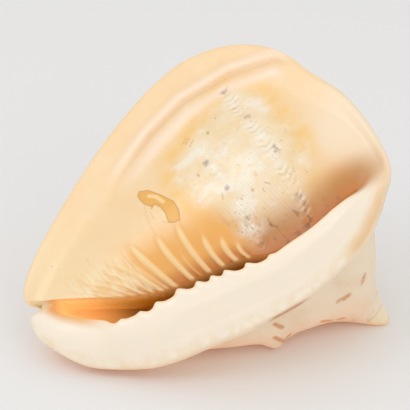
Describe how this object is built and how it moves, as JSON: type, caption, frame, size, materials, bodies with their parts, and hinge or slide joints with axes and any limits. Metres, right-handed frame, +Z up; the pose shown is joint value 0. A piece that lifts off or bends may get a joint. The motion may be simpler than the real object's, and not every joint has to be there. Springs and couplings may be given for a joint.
{
  "type": "horned helmet shell",
  "caption": "Large sea snail shell lying mouth up: broad glossy shield, long toothed mouth with a thick rolled lip, horned cone-shaped body behind.",
  "frame": {"origin": "middle of the shell's footprint box, on the surface it rests on", "axes": "+Z up from the surface it rests on, -Y the way the mouth and shield face, +X from the canal end towards the spire end"},
  "size_m": [0.2246, 0.1836, 0.1648],
  "materials": {
    "shell": "gloss"
  },
  "bodies": {
    "root": {"helmet_shell": "shell"}
  },
  "joints": []
}
